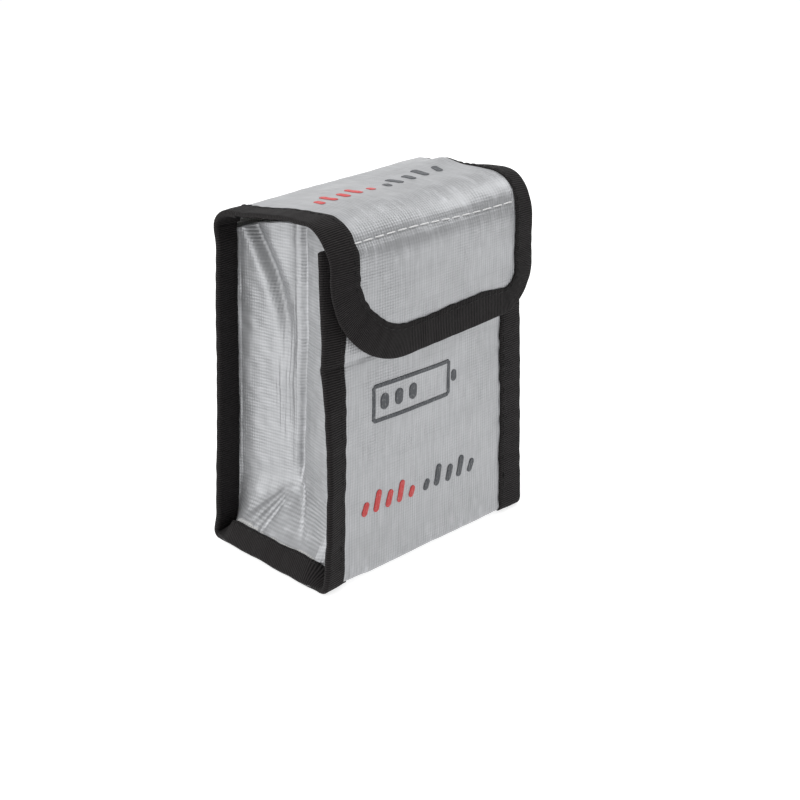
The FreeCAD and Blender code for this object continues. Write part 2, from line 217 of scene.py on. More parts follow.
S_CROSS = line.find(TONGUE_Y, TOP_Z - 5.3, S_TOP)

# ---- how the whole pouch leans: movement in x and y of its corners at the foot and at the top
LEAN = {
    (-1, -1): ((-8.0, -4.3), (-0.3, 0.3)),
    (-1, 1): ((0.1, 0.5), (2.6, -0.2)),
    (1, -1): ((0.2, 0.2), (-0.6, 1.2)),
    (1, 1): ((0.0, 0.0), (-0.3, -0.6)),
}


def lean(p):
    """Points moved by the pouch's lean."""
    p = np.array(p, float)
    up = np.clip(p[..., 2] / REAR_Z, 0, 1.05)
    across = np.clip(p[..., 0] / HALF_W, -1.1, 1.1)
    along = np.clip(p[..., 1] / BACK_Y, -1.2, 1.2)
    for (i, j), (foot, top) in LEAN.items():
        share = (1 + i * across) * (1 + j * along) / 4
        for k in (0, 1):
            p[..., k] += share * (foot[k] * (1 - up) + top[k] * up)
    return p


# ---- the front wall's side fins: how far they stand out, at shares of the way down
LEFT_FIN_AT = (0.0, 0.12, 0.24, 0.36, 0.46, 0.70, 0.86, 1.0)
LEFT_FIN_OUT = (-5.0, -4.0, -2.6, -1.0, 1.0, 2.7, 2.2, 1.0)
RIGHT_FIN_AT = (0.0, 0.40, 1.0)
RIGHT_FIN_OUT = (-1.5, -1.0, 0.0)

# ---- the right edge of the flap's top, at shares of the way forward: it is tucked down at the rear, so
# its seam sits further out there
TUCK_AT = (0.0, 0.12, 0.22, 0.32, 0.42, 0.54, 0.68, 0.85, 1.0, 1.1)
TUCK_OUT = (8.5, 8.0, 6.0, 4.0, 3.5, 3.0, 2.2, 2.0, 1.8, 0.4)
TUCK_DOWN = (0.85, 0.80, 0.60, 0.30, 0.40, 0.30, 0.12, 0.06, 0.05, 0.0)


# ---- the strip's face
def strip_shape(x, s):
    """How far the face stands out at flat coordinates, and how far it moves in x."""
    r = np.abs(x)
    left = x < 0
    seam = np.clip((r - SEAM_X) / TAPE_W, 0, 1.3)
    height = 0.22 * broad(x, s) + 0.12 * mid(x, s) + 0.03 * fine(x, s)
    shift = np.zeros_like(height)

    # front wall: fuller in the middle, its side fins lean back at both ends
    wall = 1 - smooth(S_FOOT - 6, S_FOOT + 2, s)
    down = np.clip(s / S_FOOT, 0, 1)
    left_fin = np.interp(down, LEFT_FIN_AT, LEFT_FIN_OUT)
    right_fin = np.interp(down, RIGHT_FIN_AT, RIGHT_FIN_OUT)
    height += wall * 0.9 * (1 - smooth(0, SEAM_X, r)) * np.sin(math.pi * down)
    height += wall * np.where(left, left_fin, right_fin) * seam**1.3
    crease = S_FOOT - CREASE_Z - 0.07 * (x + SEAM_X)
    near = smooth(-SEAM_X + 26, -SEAM_X + 4, x)
    fuller = 0.9 * smooth(crease + 0.6, crease - 9, s)
    groove = 0.4 * hump(s, crease + 0.6, 0.9)
    height += wall * near * (fuller - groove)

    # base: the seams stand up from it and their fins come back down
    base = smooth(S_FOOT - 1, S_FOOT + 9, s) * (1 - smooth(S_HEEL - 9, S_HEEL + 1, s))
    rise = FIN_DROP * smooth(SEAM_X - 13, SEAM_X, r)
    fall = np.where(r > SEAM_X, FIN_DROP * np.clip(seam, 0, 1), 0.0)
    height -= base * (rise - fall)
    outward = smooth(0, SEAM_X, r) - np.clip(seam, 0, 1)
    shift += base * np.sign(x) * (CREST_X - SEAM_X) * outward

    # back: drawn in along its side seams
    back = smooth(S_HEEL, S_HEEL + 8, s) * (1 - smooth(S_ROOT - 8, S_ROOT + 4, s))
    climb = np.clip((s - S_HEEL) / (S_ROOT - S_HEEL), 0, 1)
    drawn_in = 1.2 * smooth(SEAM_X - 18, SEAM_X, r)
    height -= back * (drawn_in + (0.3 + 1.4 * climb**2) * seam**1.2)

    # flap top: crowned, with its left edge hanging and its right edge puckered
    top = smooth(S_REAR - 2, S_REAR + 10, s) * (1 - smooth(S_FOLD - 4, S_FOLD + 8, s))
    reach = (s - S_REAR) / (S_FOLD - S_REAR)
    length = np.clip(reach, 0, 1)
    height += top * 0.6 * (1 - (r / HALF_W) ** 2)
    height += top * (x / HALF_W) * (1.7 - 1.8 * length)
    hang = np.clip(-x - (SEAM_X - 3), 0, None) ** 1.25
    height -= top * (0.045 * length**2) * hang
    tuck = smooth(S_ROOT - 2, S_REAR + 3, s) * np.interp(reach, TUCK_AT, TUCK_OUT)
    past = np.clip(x - SEAM_X, 0, None)
    shift += tuck * (smooth(10, SEAM_X, x) - 0.085 * past)
    height -= smooth(S_REAR - 6, S_REAR + 3, s) * np.interp(reach, TUCK_AT, TUCK_DOWN) * past
    height += top * 1.2 * hump(length, 0.36, 0.22) * smooth(8, SEAM_X, x)
    shift += 1.8 * hump(reach, 0.93, 0.20) * smooth(10, SEAM_X, x)
    height += top * 0.9 * hump(length, 0.85, 0.2) * smooth(12, HALF_W, x)
    height += top * 1.1 * hump(length, 0.45, 0.10) * hump(x, SEAM_X - 1.0, 6.0)
    height -= top * 0.5 * hump(length, 0.33, 0.06) * hump(x, SEAM_X + 1.0, 6.0)

    # tongue: bowed out, its edges curl back, and the cross seam pulls it in
    tongue = smooth(S_FOLD - 8, S_FOLD + 6, s)
    drop = np.clip((s - S_TONGUE) / (line.end - S_TONGUE), 0, 1.1)
    height += tongue * (0.9 - 0.9 * (r / FLAP_HALF) ** 2)
    curl = np.clip(r - (SEAM_X - 5), 0, None) ** 1.6
    height -= tongue * np.where(left, 0.014, 0.006) * curl * (1 - 0.35 * drop)
    between_tapes = 1 - smooth(SEAM_X - 3, SEAM_X + 1, r)
    height -= tongue * 0.35 * hump(s, S_CROSS, 1.4) * between_tapes
    height += tongue * 0.25 * hump(s, S_CROSS + 4, 3.0) * between_tapes
    height += tongue * 0.35 * np.sin(x / 11.0 + 0.6) * smooth(0.55, 1.0, drop)
    return height, shift


def tongue_slant(x, s):
    """The tongue's foot isn't square: it ends higher on the right."""
    return smooth(S_TONGUE - 8, line.end, s) * (2.6 + 0.048 * x)


def strip(x, s):
    """Points of the strip's outer face."""
    x, s = np.broadcast_arrays(np.asarray(x, float), np.asarray(s, float))
    s = s - tongue_slant(x, s)
    y, z, ny, nz = line.at(s)
    height, shift = strip_shape(x, s)
    beyond = np.clip(s - line.end, 0, None)
    return lean(np.stack([x + shift, y + ny * height, z + nz * height - beyond], -1))


def strip_normal(x, s):
    """Unit normals of the strip's outer face, outwards."""
    step = 0.4
    along = strip(x, s + step) - strip(x, s - step)
    across = strip(x + step, s) - strip(x - step, s)
    return unit(np.cross(along, across))


def strip_above(x, s, lift):
    """Points that stand off the strip's outer face by the lift."""
    return strip(x, s) + strip_normal(x, s) * np.asarray(lift, float)[..., None]


# ---- meshes
def placed(name, data):
    """A new object in the scene."""
    thing = bpy.data.objects.new(name, data)
    bpy.context.scene.collection.objects.link(thing)
    return thing


def thicken(piece, thickness):
    """Gives a sheet its thickness, away from its outer face."""
    solid = piece.modifiers.new("thickness", "SOLIDIFY")
    solid.thickness, solid.offset = thickness * MM, -1
    return solid


def new_mesh(name, points, faces, weave, materials):
    """An object from points in millimetres, quads, and each point's place in its own cloth or tape."""
    mesh = bpy.data.meshes.new(name)
    points = np.asarray(points, float).reshape(-1, 3) * MM
    faces = np.asarray(faces).reshape(-1, 4)
    mesh.from_pydata(points.tolist(), [], faces.tolist(), shade_flat=False)
    mesh.validate()
    place = mesh.attributes.new("weave", "FLOAT_VECTOR", "POINT")
    place.data.foreach_set("vector", np.asarray(weave, np.float32).ravel())
    for material in materials:
        mesh.materials.append(material)
    return placed(name, mesh)


def grid_faces(rows, columns, closed=False, start=0):
    """Quads of a grid of points stored row by row. closed joins the last column to the first."""
    i = np.arange(rows - 1)[:, None] * columns
    j = np.arange(columns if closed else columns - 1)[None, :]
    k = (j + 1) % columns
    quads = np.stack([i + j, i + columns + j, i + columns + k, i + k], -1)
    return quads.reshape(-1, 4) + start


def cloth(name, points, weave, thickness=CLOTH, flip=False):
    """A sheet from a grid of points on its outer face, with lining on its inner side."""
    rows, columns = points.shape[:2]
    faces = grid_faces(rows, columns)
    if flip:
        faces = faces[:, ::-1]
    piece = new_mesh(name, points, faces, weave, [SILVER, LINING])
    thicken(piece, thickness).material_offset = 1
    return piece


def strip_cloth(name, s0, s1, ends, spacing, overlap=0.9):
    """The strip's cloth between two lengths. ends(s) gives its left and right ends.

    It runs on a little under the next stretch, so that no gap shows between the two. Rows close to both
    ends keep the shading flat there."""
    close, sunk = 0.03, 0.16
    rows = int((s1 - s0) / spacing) + 2
    columns = int(2 * HALF_W / spacing) + 1
    under = s1 + overlap * np.array([0.25, 1.0]) if overlap else []
    s = np.r_[s0, np.linspace(s0 + close, s1 - close, rows), s1, under][:, None]
    left, right = ends(s)
    x = left + (right - left) * np.linspace(0, 1, columns)[None, :]
    s = np.broadcast_to(s, x.shape)
    weave = np.stack([x, s, wear_of(s)], -1)
    return cloth(name, strip_above(x, s, -sunk * smooth(0, 0.3, s - s1)), weave)


# ---- outlines of the strip
LEFT_R, RIGHT_R = 32.0, 15.5      # lower corners of the tongue
LEFT_IN, LEFT_TAPER = 0.6, 1.4    # the flap hangs a little to one side, and its left edge tapers
EDGE_STEP = 0.6


def flap_edge(s, side):
    """x of the flap's side edge: it widens from the back, and the tongue's left edge tapers."""
    widen = smooth(S_REAR, S_FOLD, s)
    x = HALF_W + (FLAP_HALF - HALF_W) * widen
    if side < 0:
        x = x - LEFT_IN * widen - LEFT_TAPER * smooth(S_TONGUE, line.end, s)
    return side * x


def outline():
    """The flap's edge from the rear left round the tongue to the rear right, like side_edge."""
    points = []
    for side, radius in ((-1, LEFT_R), (1, RIGHT_R)):
        s = np.arange(S_TOP, line.end - radius, EDGE_STEP)
        run = np.stack([flap_edge(s, side), s], 1)
        centre_x = flap_edge(line.end - radius, side) - side * radius
        turn = np.linspace(0, math.pi / 2, int(radius * 2.6))
        across, down = side * radius * np.cos(turn), radius * np.sin(turn)
        arc = np.stack([centre_x + across, line.end - radius + down], 1)
        points.append(np.vstack([run, arc]))
    left, right = points[0], points[1][::-1]
    foot = np.linspace(left[-1], right[0], 60)[1:-1]
    curve = np.vstack([left, foot, right])
    step = np.gradient(curve, axis=0)
    return curve, unit(np.stack([step[:, 1], -step[:, 0]], 1))


# ---- tape
def band(width, under, core):
    """Section of a folded tape as (inset from the edge, height over the cloth's face), a closed loop.
    It covers width on the face and under on the other side, with the core between."""
    low, high = -core - TAPE, TAPE
    centre, radius = (low + high) / 2, (high - low) / 2
    inner = radius - TAPE * 0.9
    clear, lip, steps = 0.02, 0.12, 9
    turn = np.linspace(math.pi / 2, -math.pi / 2, steps)
    reach = np.linspace(width, radius, steps)
    puff = 0.10 * np.sin(math.pi * (reach - radius) / (width - radius))
    outer = [(width + lip, high * 0.45)] + [(a, high + b) for a, b in zip(reach, puff)]
    outer += [(radius - radius * math.cos(t), centre + radius * math.sin(t)) for t in turn[1:-1]]
    reach = np.linspace(radius, under, steps)
    outer += [(a, low - b) for a, b in zip(reach, puff[::-1])] + [(under + lip, low + high * 0.55)]
    inside = [(under, -core - clear), (radius, -core - clear)]
    inside += [(radius - inner * math.cos(t), centre + inner * math.sin(t)) for t in turn[::-1][1:-1]]
    inside += [(radius, clear), (width, clear)]
    return np.array(outer + inside)


def tape(name, edge, inward, core, width, under, share):
    """A folded tape along an edge, given as (x, s) points with inward directions. share is how much of
    its width it keeps along the way."""
    section = band(width, under, core)
    rows, columns = len(edge), len(section)
    run = run_of(edge)
    uneven = 1 + 0.020 * np.sin(run / 6.5)[:, None] + 0.012 * fine(run, run * 0.3)[:, None]
    inset = section[None, :, 0] * np.where(section[None, :, 0] > min(width, under) * 0.8, uneven, 1.0)
    inset = inset * np.broadcast_to(share, rows)[:, None]
    x = edge[:, None, 0] + inward[:, None, 0] * inset
    s = edge[:, None, 1] + inward[:, None, 1] * inset
    height = np.broadcast_to(section[None, :, 1], x.shape)
    height = height + 0.06 * mid(run * 3, run * 2)[:, None]
    points = strip_above(x, s, height)
    weave = np.stack(np.broadcast_arrays(run_of(section)[None, :], run[:, None], 7.0), -1)
    faces = grid_faces(rows, columns, closed=True)
    caps = []
    for base, order in ((0, 1), ((rows - 1) * columns, -1)):
        for k in range(columns // 2 - 1):
            cap = (k, k + 1, columns - k - 2, columns - k - 1)
            caps.append([base + q for q in cap[::order]])
    return new_mesh(name, points, np.vstack([faces, caps]), weave, [GROSGRAIN])


def side_edge(s0, s1, side, edge=None):
    """A run of the strip's side edge as (x, s) points with inward directions."""
    s = np.linspace(s0, s1, int((s1 - s0) / EDGE_STEP) + 2)
    x = side * HALF_W + 0 * s if edge is None else edge(s, side)
    curve = np.stack([x, s], 1)
    inward = np.stack([-side + 0 * s, 0 * s], 1)
    return curve, inward


# ---- stitches
def stitches(name, curve, place, pitch, share, radius, material, sink=0.35, bow=0.25):
    """A row of stitches along (x, s) points: each is a short thread whose ends go into the cloth.
    place maps (x, s, lift) to a point. share is how much of the pitch the thread takes up."""
    curve = np.asarray(curve, float)
    run = run_of(curve)
    count = max(1, int(round(run[-1] / pitch)))
    pitch = run[-1] / count
    ring, along = 8, 9
    points, weave, faces = [], [], []
    turn = np.arange(ring) * 2 * math.pi / ring
    for k in range(count):
        gap = (1 - share) / 2 + rng.uniform(-0.03, 0.03)
        t = np.linspace(k + gap, k + 1 - gap, along) * pitch
        x, s = np.interp(t, run, curve[:, 0]), np.interp(t, run, curve[:, 1])
        u = np.linspace(-1, 1, along)
        rise = radius * 0.55 + bow * radius * (1 - u**2) - (sink + radius) * np.abs(u) ** 8
        centre = place(x, s, rise)
        up = place(x, s, rise + 1.0) - centre
        way = unit(np.gradient(centre, axis=0))
        side = unit(np.cross(way, up))
        up = np.cross(side, way)
        thick = radius * (1 - 0.45 * np.abs(u) ** 6)
        offset = side[:, None] * np.cos(turn)[None, :, None]
        offset = offset + up[:, None] * np.sin(turn)[None, :, None] * 0.8
        first = len(points) * ring * along
        points.append(centre[:, None] + offset * thick[:, None, None])
        weave.append(np.stack(np.broadcast_arrays(turn[None, :] * radius, t[:, None], 3.0), -1))
        faces.append(grid_faces(along, ring, closed=True, start=first))
        for base, order in ((first, -1), (first + (along - 1) * ring, 1)):
            for j in range(0, ring - 2, 2):
                cap = [base, base + j + 1, base + j + 2, base + (j + 3) % ring]
                faces.append([cap[::order]])
    weave = np.array(weave).reshape(-1, 3)
    return new_mesh(name, np.array(points), np.vstack(faces), weave, [material])


# ---- materials
class Shader:
    """A Principled material, with short ways to add nodes. Patterns are sized in millimetres of cloth."""

    def __init__(self, name, **values):
        self.material = bpy.data.materials.new(name)
        self.material.use_nodes = True
        self.tree = self.material.node_tree
        self.main = self.tree.nodes["Principled BSDF"]
        for key, value in values.items():
            self.main.inputs[key.replace("_", " ")].default_value = value
        place = self.tree.nodes.new("ShaderNodeAttribute")
        place.attribute_name = "weave"
        self.place = place.outputs["Vector"]
        split = self.add("ShaderNodeSeparateXYZ", self.place).node
        self.x, self.y, self.z = split.outputs

    def add(self, kind, *sources, **settings):
        node = self.tree.nodes.new(kind)
        for key, value in settings.items():
            setattr(node, key, value)
        for socket, source in zip(node.inputs, sources):
            self.put(socket, source)
        return node.outputs[0]

    def put(self, socket, source):
        if isinstance(source, bpy.types.NodeSocket):
            self.tree.links.new(source, socket)
        elif source is not None:
            socket.default_value = source

    def math(self, operation, a, b=None):
        return self.add("ShaderNodeMath", a, b, operation=operation)

    def times(self, a, b):
        return self.math("MULTIPLY", a, b)

    def plus(self, a, b):
        return self.math("ADD", a, b)

    def wave(self, axis, pitch, bend=0.5):
        """Ribs of that pitch along an axis of the cloth, slightly uneven, 0 to 1."""
        detail, detail_scale = 1.0, 0.35
        scale = 0.1 * math.pi / pitch
        node = self.add("ShaderNodeTexWave", self.place, scale, bend, detail, detail_scale).node
        node.bands_direction = axis
        return node.outputs["Fac"]

    def noise(self, size, detail=2.0, stretch=(1, 1, 1)):
        """A stretch under 1 draws the noise out along that axis."""
        moved = self.add("ShaderNodeVectorMath", self.place, tuple(stretch), operation="MULTIPLY")
        return self.add("ShaderNodeTexNoise", moved, None, 1 / size, detail)

    def spread(self, value, low, high, to_low=0.0, to_high=1.0):
        return self.add("ShaderNodeMapRange", value, low, high, to_low, to_high)

    def mix(self, share, first, second):
        node = self.tree.nodes.new("ShaderNodeMix")
        node.data_type = "RGBA"
        factor, colour_a, colour_b, colour_out = 0, 6, 7, 2     # sockets of the colour kind
        for index, source in ((factor, share), (colour_a, first), (colour_b, second)):
            self.put(node.inputs[index], source)
        return node.outputs[colour_out]

    def bump(self, *layers):
        """Heights with their depth in millimetres, one bump after another."""
        normal = None
        for height, depth in layers:
            node = self.tree.nodes.new("ShaderNodeBump")
            self.put(node.inputs["Height"], height)
            node.inputs["Distance"].default_value = depth * MM
            self.put(node.inputs["Normal"], normal)
            normal = node.outputs["Normal"]
        self.put(self.main.inputs["Normal"], normal)

    def finish(self, colour, rough):
        self.put(self.main.inputs["Base Color"], colour)
        self.put(self.main.inputs["Roughness"], rough)
        return self.material


def grey(value, tint=(1, 1, 1)):
    return (value * tint[0], value * tint[1], value * tint[2], 1)


COOL, WARM, BROWNISH = (0.975, 0.99, 1.02), (1, 0.99, 0.96), (1.10, 0.93, 0.95)


def silver_cloth():
    """Glass cloth with a silver coat: ribs, blotches and scuffs. The weave's z says how worn it is; where
    it is negative, along the gusset's creases, shade is painted into the colour to darken them."""
    m = Shader("silver_cloth", Metallic=0.5)
    warp, weft = m.wave("X", WEAVE, 0.8), m.wave("Y", WEAVE * 0.92, 0.8)
    ribs = m.plus(m.times(warp, 0.68), m.times(weft, 0.32))
    blotch = m.noise(13.0, 3.0)
    patchy = m.times(ribs, m.spread(m.noise(17.0, 2.0), 0.38, 0.62, 0.2, 1.0))
    slub = m.noise(1.1, 2.0, (1.0, 0.12, 1.0))
    scuff = m.spread(m.noise(2.2, 4.0, (1, 0.35, 1)), 0.52, 0.74)
    colour = m.mix(m.spread(blotch, 0.3, 0.7), grey(0.385, COOL), grey(0.46, COOL))
    streak = m.noise(1.6, 3.0, (0.05, 1.0, 1.0))
    colour = m.mix(m.spread(ribs, 0.25, 0.75), grey(0.368, COOL), colour)
    colour = m.mix(m.spread(streak, 0.3, 0.5, 0.16, 0.0), colour, grey(0.28, COOL))
    colour = m.mix(m.spread(slub, 0.35, 0.75, 0.0, 0.22), colour, grey(0.66, COOL))
    worn = m.times(m.math("MAXIMUM", m.z, 0.0), scuff)
    colour = m.mix(m.times(worn, 0.55), colour, grey(0.72, COOL))
    # painted shade: where the weave's z is negative, along the gusset's creases, the colour is darkened
    # towards a dark grey
    colour = m.mix(m.spread(m.z, -1.0, 0.0, 0.5, 0.0), colour, grey(0.2, COOL))
    rough = m.plus(m.spread(blotch, 0.3, 0.7, 0.35, 0.43), m.spread(ribs, 0.0, 1.0, 0.07, -0.04))
    rough = m.plus(rough, m.times(worn, 0.12))
    m.bump((patchy, 0.14), (slub, 0.05), (m.noise(4.5, 2.0), 0.10), (streak, 0.05))
    return m.finish(colour, rough)


def lining_cloth():
    """The inner face: the same cloth uncoated, duller and paler."""
    m = Shader("lining_cloth")
    warp, weft = m.wave("X", WEAVE, 0.5), m.wave("Y", WEAVE, 0.5)
    ribs = m.times(m.plus(warp, weft), 0.5)
    colour = m.mix(m.spread(m.noise(9.0, 3.0), 0.3, 0.7), grey(0.50), grey(0.60, WARM))
    colour = m.mix(m.spread(ribs, 0.1, 0.5), grey(0.38), colour)
    m.bump((ribs, 0.10), (m.noise(5.0), 0.08))
    return m.finish(colour, m.spread(m.noise(2.0), 0.3, 0.7, 0.62, 0.78))


def grosgrain():
    """Black edge tape with ribs across it."""
    m = Shader("edge_tape", Sheen_Weight=0.02, Sheen_Roughness=0.5, Specular_IOR_Level=0.18)
    ribs = m.wave("Y", 0.74, 0.35)
    grain = m.wave("X", 0.42, 0.5)
    lint = m.spread(m.noise(0.8, 3.0, (1, 2.2, 1)), 0.56, 0.74)
    colour = m.mix(m.spread(ribs, 0.25, 0.85), grey(0.0012), grey(0.018, BROWNISH))
    colour = m.mix(m.spread(m.noise(7.0), 0.35, 0.7, 0.0, 0.4), colour, grey(0.013, BROWNISH))
    colour = m.mix(m.times(lint, 0.14), colour, grey(0.08))
    weave = m.plus(m.times(ribs, 0.75), m.times(grain, 0.25))
    m.bump((weave, 0.20), (m.noise(3.0), 0.10))
    return m.finish(colour, m.spread(ribs, 0.0, 1.0, 0.86, 0.66))


def thread(name, low, high):
    """Twisted sewing thread."""
    m = Shader(name, Specular_IOR_Level=0.25)
    turned = m.plus(m.times(m.x, 1.6), m.y)
    twist = m.math("SINE", m.times(turned, 2 * math.pi / 0.55))
    colour = m.mix(m.spread(twist, -0.6, 0.8), low, high)
    m.bump((twist, 0.05), (m.noise(0.3), 0.03))
    return m.finish(colour, m.spread(m.noise(0.6), 0.3, 0.7, 0.5, 0.68))


def fastener(name, low, high, size):
    """Black hook or loop tape: fuzzy, with lighter tips."""
    m = Shader(name, Sheen_Weight=0.2)
    fuzz = m.noise(size, 4.0)
    colour = m.mix(m.spread(fuzz, 0.35, 0.7), low, high)
    m.bump((fuzz, 0.25), (m.noise(size * 4), 0.15))
    return m.finish(colour, m.spread(fuzz, 0.3, 0.7, 0.95, 0.7))


def ink(name, colour, faded):
    """Screen print on the coat: it thins where the ribs stand up."""
    m = Shader(name)
    warp = m.wave("X", WEAVE, 0.55)
    wear = m.spread(m.noise(0.9, 3.0), 0.52, 0.72)
    share = m.times(m.plus(m.times(warp, 0.4), 0.25), wear)
    m.bump((warp, 0.06), (m.noise(1.2), 0.03))
    return m.finish(m.mix(share, colour, faded), m.spread(m.noise(2.5), 0.3, 0.7, 0.42, 0.58))


SILVER, LINING, GROSGRAIN = silver_cloth(), lining_cloth(), grosgrain()
BLACK_THREAD = thread("black_thread", grey(0.005), grey(0.020))
WHITE_THREAD = thread("white_thread", grey(0.84), grey(0.97))
LOOP = fastener("loop_tape", grey(0.006), grey(0.030), 0.7)
HOOK = fastener("hook_tape", grey(0.008), grey(0.035), 0.45)
RED_INK = ink("red_ink", (0.55, 0.035, 0.035, 1), (0.62, 0.22, 0.22, 1))
DARK_INK = ink("dark_ink", (0.055, 0.060, 0.068, 1), (0.24, 0.25, 0.26, 1))


def rides_front(piece):
    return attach(piece, "front_wall")


def rides_pouch(piece):
    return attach(piece, "pouch")


def folds_flat(piece):
    """Parents the piece to the pouch's empty and gives it its own copy of its mesh."""
    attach(piece, "pouch")
    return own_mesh(piece)


def bends_at_root(piece):
    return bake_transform(piece)


def bends_at_rear(piece):
    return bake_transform(piece)


def bends_at_front(piece):
    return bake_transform(piece)


def is_now(piece, slot_name, *nodes):
    """Hides the CAD nodes that the piece stands for, and returns the piece. slot_name, the piece's finish,
    is not used.
    """
    if nodes:
        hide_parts(*nodes)
    return piece


def standing_off(base, way=1):
    """A function like strip_above, whose lifts start at base and go outwards (1) or inwards (-1)."""
    def place(x, s, lift):
        return strip_above(x, s, base + way * np.asarray(lift, float))

    return place


on_lining = standing_off(-CLOTH, -1)


# ---- cloth
def wear_of(s):
    """How worn the strip is at a length: most along its folds."""
    total = 0.15
    for fold, width in ((S_FOOT, 5.0), (S_HEEL, 5.0), (S_REAR, 8.0), (S_FOLD, 11.0)):
        total = total + 0.8 * hump(s, fold, width)
    return np.clip(total, 0, 1)


def walls_ends(s):
    return -HALF_W + TAPE + 0 * s, HALF_W - TAPE + 0 * s


def flap_ends(s):
    ends = []
    for side, radius in ((-1, LEFT_R), (1, RIGHT_R)):
        over = np.clip(s - (line.end - radius), 0, radius - TAPE)
        x = flap_edge(s, side) - side * radius
        ends.append(x + side * np.sqrt(np.clip((radius - TAPE) ** 2 - over**2, 0, None)))
    return ends


def make_strip():
    for name, s0, s1, spacing, move, panels, rests_on in (
        ("front_cloth", 0.0, S_FRONT_END, 1.0, rides_front, ("front",), "base_cloth"),
        ("base_cloth", S_FRONT_END, S_BACK_START, 1.0, folds_flat, ("base",), "left_base_tape"),
        ("back_cloth", S_BACK_START, S_ROOT, 1.0, bends_at_root, ("back",), "base_cloth"),
        ("rear_fold_cloth", S_ROOT, S_TOP, 0.7, bends_at_rear, ("flap_root",), "back_cloth"),
        ("flap_cloth", S_TOP, line.end, 0.8, bends_at_front, ("flap_top", "tongue"), "rear_fold_cloth"),
    ):
        if name == "flap_cloth":
            piece = strip_cloth(name, s0, s1 - TAPE, flap_ends, spacing, overlap=0)
        else:
            piece = strip_cloth(name, s0, s1, walls_ends, spacing)
        nodes = [f"{panel}_{layer}" for panel in panels for layer in ("panel", "lining")]
        move(is_now(piece, "silver_cloth", *nodes))


# ---- gussets
APEX_Y, APEX_Z = -1.6, 24.5     # foot of the main crease, where the flat triangle ends
GUSSET_X = SEAM_X + 1.2         # where the gusset's cloth goes in under the tape
GUSSET_WEAVE = 200              # keeps its pattern apart from the strip's
PLEAT = 6.2                     # depth of the main crease
BACK_MOUTH = line.find(BACK_Y, BACK_TOP, S_HEEL)
CREASES = (1.2, 2.1, 3.3, 4.2, 5.6, 6.5, 8.0, 9.7, -3.6)     # y of the thin upright creases

# the fan's pleats: angle from straight down, and depth
PLEAT_AT = (0.36, 0.43, 0.50, 0.58, 0.66, 0.75, 0.84)
PLEAT_DEPTH = (0.22, -0.13, 0.20, -0.12, 0.22, -0.13, 0.22)

# the long valley: y of its middle and its width at heights
VALLEY_Z = (60, 70, 78, 87, 94, 107)
VALLEY_Y = (5.0, 5.4, 6.4, 9.4, 13.0, 20.5)
VALLEY_WIDTH_Z, VALLEY_WIDTH = (60, 80, 105), (1.7, 2.5, 2.7)


def long_valley(y, z):
    """The valley from the back's upper corner down to the middle: its y, and how much a place is in it."""
    valley = np.interp(z, VALLEY_Z, VALLEY_Y)
    width = np.interp(z, VALLEY_WIDTH_Z, VALLEY_WIDTH) * np.where(y > valley, 1.0, 1.3)
    return valley, smooth(56, 92, z) * np.exp(-(((y - valley) / width) ** 2))


def gusset_folds(y, z, side):
    """How far the gusset's cloth goes in towards the middle of the pouch."""
    foot = BASE_Z + FIN_DROP
    forward = (y - FRONT_Y - SEAM) / (APEX_Y - FRONT_Y - SEAM)
    rearward = (BACK_Y - SEAM - y) / (BACK_Y - SEAM - APEX_Y)
    reach = np.clip(np.minimum(forward, rearward), 0, 1)
    climb = np.clip((z - foot) / (APEX_Z - foot), 0, 4)
    crisp = 11.0
    depth = -np.log(np.exp(-crisp * reach) + np.exp(-crisp * climb)) / crisp
    depth = np.clip(depth + math.log(2) / crisp * np.exp(-3 * (reach + climb)), 0, None)
    fold = PLEAT * depth * (1 - 0.12 * smooth(60, 106, z))

    # a groove down the main crease
    above = smooth(APEX_Z - 3, APEX_Z + 8, z)
    fold += above * 1.3 * hump(y, APEX_Y - 0.5 + 0.5 * np.sin(z / 17.0), 1.1)
    fold -= above * 0.5 * hump(y, APEX_Y + 2.2, 1.3)

    valley, share = long_valley(y, z)
    fold += 2.6 * share
    fold -= 0.3 * smooth(56, 92, z) * hump(y, valley + 4.2, 3.0)

    # thin upright creases behind the main one
    for place in CREASES:
        wander = 0.35 * np.sin(z / 15.0 + place * 2.1) + 0.12 * np.sin(z / 5.1 + place)
        starts = smooth(APEX_Z + 2 + place, APEX_Z + 16 + place, z)
        ends = starts * smooth(98 - 3 * place, 78 - 3 * place, z)
        fold += (0.20 + 0.06 * math.sin(place * 5)) * hump(y, place + wander, 0.42) * ends

    # small pleats that fan from the foot of the crease towards the back's lower corner
    angle = np.arctan2(y - APEX_Y, APEX_Z + 2.0 - z)
    far = np.hypot(y - APEX_Y, APEX_Z + 2.0 - z)
    for way, sunk in zip(PLEAT_AT, PLEAT_DEPTH):
        fold += sunk * hump(angle, way, 0.032) * smooth(5.0, 15.0, far) * smooth(27.0, 20.0, far)
    fold += 0.45 * hump(angle, 0.92, 0.16) * smooth(4.0, 14.0, far) * smooth(30.0, 20.0, far)
    fold += 0.5 * hump(angle, -0.62, 0.06) * smooth(0.5, 4.0, far) * smooth(24.0, 16.0, far)
    return fold + 0.16 * mid(y * 1.3, z * 0.6 + side * 40) + 0.06 * fine(y, z + side * 30)


